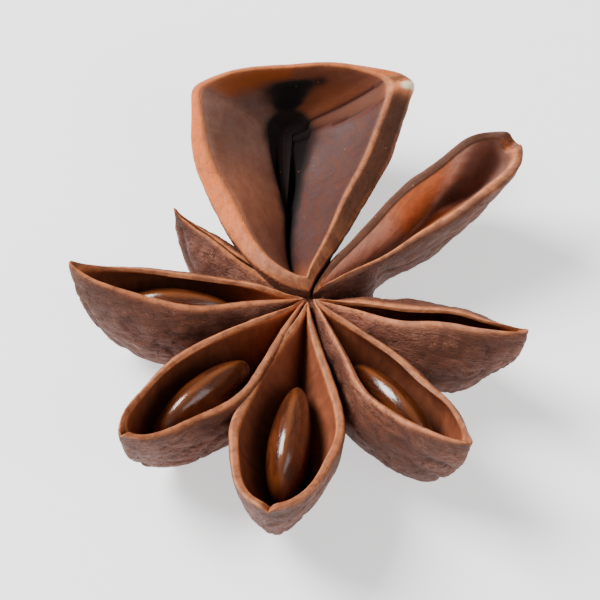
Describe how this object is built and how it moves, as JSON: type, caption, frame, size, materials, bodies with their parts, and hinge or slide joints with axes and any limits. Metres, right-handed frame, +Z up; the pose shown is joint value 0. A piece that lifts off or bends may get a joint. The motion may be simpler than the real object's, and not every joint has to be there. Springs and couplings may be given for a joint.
{
  "type": "star anise pod",
  "caption": "Dried star-shaped spice fruit: boat-shaped woody follicles round a short column, split open along the top, some still holding a flat glossy seed.",
  "frame": {"origin": "on the floor under the middle of the pod's bounding box", "axes": "+Z up, the way the split mouths face; +Y towards the widest open follicle"},
  "size_m": [0.027, 0.0312, 0.0087],
  "materials": {
    "dried_wood": "rough, wrinkled reddish brown outside, satin orange brown inside",
    "seed": "smooth, glossy chestnut brown"
  },
  "bodies": {
    "root": {"pod": "dried_wood", "seed_1": "seed", "seed_2": "seed", "seed_3": "seed", "seed_4": "seed"}
  },
  "joints": []
}
